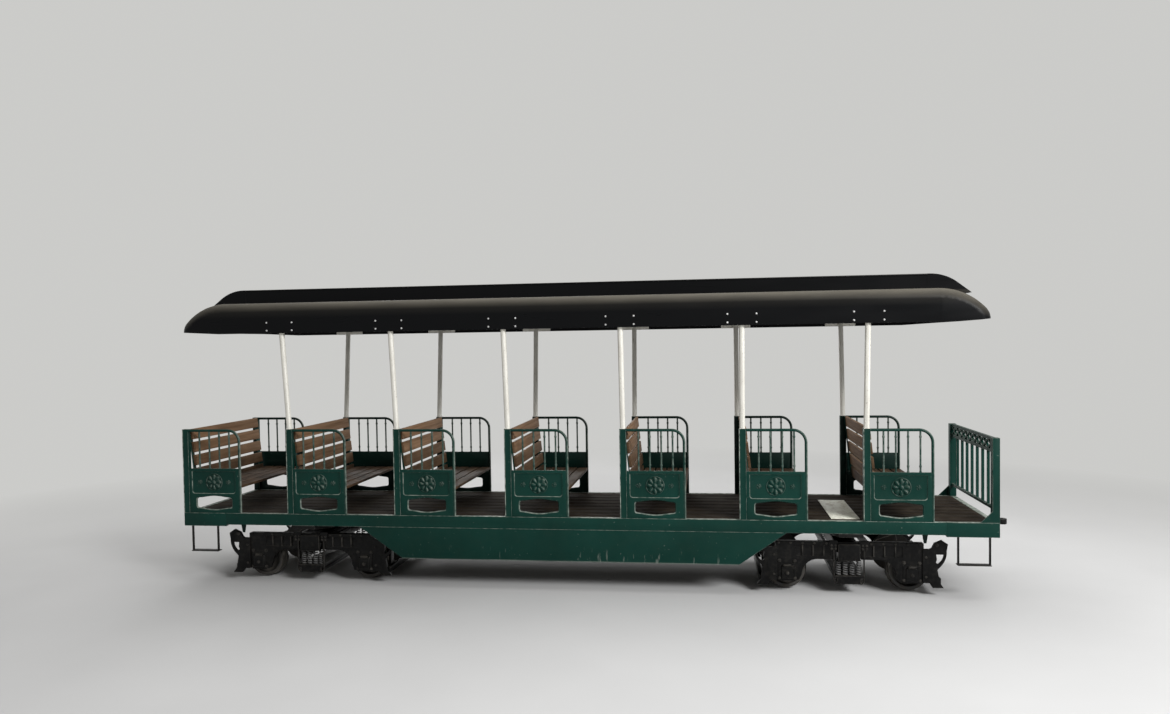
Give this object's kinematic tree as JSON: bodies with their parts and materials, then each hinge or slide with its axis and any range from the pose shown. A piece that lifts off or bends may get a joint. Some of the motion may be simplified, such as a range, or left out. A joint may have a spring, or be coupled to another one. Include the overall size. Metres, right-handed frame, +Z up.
{
  "type": "open bogie coach of an amusement park train",
  "caption": "Open narrow gauge park train coach with slatted benches between ornamental side panels, a long clerestory roof on leaning pipes and two sprung trucks.",
  "frame": {"origin": "midway between the ends and between the sides of the coach, level with the bottoms of the wheel flanges", "axes": "+X along the coach towards the front platform with the end rail, +Y across to the far side, +Z up"},
  "size_m": [6.927, 1.402, 2.448],
  "materials": {
    "coach_green": "gloss",
    "frame_black": "satin",
    "roof_black": "satin",
    "pipe_white": "satin",
    "slat_wood": "satin",
    "floor_wood": "matte",
    "cover_grey": "satin",
    "truck_iron": "satin",
    "spring_steel": "satin",
    "wheel_iron": "satin"
  },
  "bodies": {
    "root": {"bench_1": "slat_wood", "bench_2": "slat_wood", "bench_3": "slat_wood", "bench_4": "slat_wood", "bench_5": "slat_wood", "bench_6": "slat_wood", "bench_7": "slat_wood", "bench_frames": "coach_green", "body_bolsters": "frame_black", "centre_sill": "frame_black", "cover_plate": "cover_grey", "cross_bearers": "frame_black", "drawbars": "frame_black", "end_frames": "coach_green", "end_rail": "coach_green", "floor_boards": "floor_wood", "roof_bows": "roof_black", "roof_caps": "roof_black", "roof_deck": "roof_black", "roof_pipes": "pipe_white", "roof_sides": "roof_black", "side_panel_far_1": "coach_green", "side_panel_far_2": "coach_green", "side_panel_far_3": "coach_green", "side_panel_far_4": "coach_green", "side_panel_far_5": "coach_green", "side_panel_far_6": "coach_green", "side_panel_far_7": "coach_green", "side_panel_near_1": "coach_green", "side_panel_near_2": "coach_green", "side_panel_near_3": "coach_green", "side_panel_near_4": "coach_green", "side_panel_near_5": "coach_green", "side_panel_near_6": "coach_green", "side_panel_near_7": "coach_green", "side_sills": "coach_green", "side_skirts": "coach_green", "stirrup_steps": "frame_black"},
    "truck_front": {"truck_frame_front": "truck_iron", "truck_bolster_front": "truck_iron", "truck_springs_front": "spring_steel", "spring_plank_front": "truck_iron", "brake_gear_front": "truck_iron"},
    "truck_rear": {"truck_frame_rear": "truck_iron", "truck_bolster_rear": "truck_iron", "truck_springs_rear": "spring_steel", "spring_plank_rear": "truck_iron", "brake_gear_rear": "truck_iron"},
    "wheels_front_outer": {"wheelset_front_outer": "wheel_iron"},
    "wheels_front_inner": {"wheelset_front_inner": "wheel_iron"},
    "wheels_rear_outer": {"wheelset_rear_outer": "wheel_iron"},
    "wheels_rear_inner": {"wheelset_rear_inner": "wheel_iron"}
  },
  "joints": [
    {"name": "front_truck_swivel", "type": "hinge", "parent": "root", "child": "truck_front", "pos_m": [2.17, 0, 0.4], "axis": [0, 0, 1], "range_deg": [-7, 7]},
    {"name": "front_outer_axle", "type": "hinge", "parent": "truck_front", "child": "wheels_front_outer", "pos_m": [2.632, 0, 0.164], "axis": [0, 1, 0], "continuous": true},
    {"name": "front_inner_axle", "type": "hinge", "parent": "truck_front", "child": "wheels_front_inner", "pos_m": [1.708, 0, 0.164], "axis": [0, 1, 0], "continuous": true},
    {"name": "rear_truck_swivel", "type": "hinge", "parent": "root", "child": "truck_rear", "pos_m": [-2.17, 0, 0.4], "axis": [0, 0, 1], "range_deg": [-7, 7]},
    {"name": "rear_outer_axle", "type": "hinge", "parent": "truck_rear", "child": "wheels_rear_outer", "pos_m": [-2.632, 0, 0.164], "axis": [0, 1, 0], "continuous": true},
    {"name": "rear_inner_axle", "type": "hinge", "parent": "truck_rear", "child": "wheels_rear_inner", "pos_m": [-1.708, 0, 0.164], "axis": [0, 1, 0], "continuous": true}
  ]
}
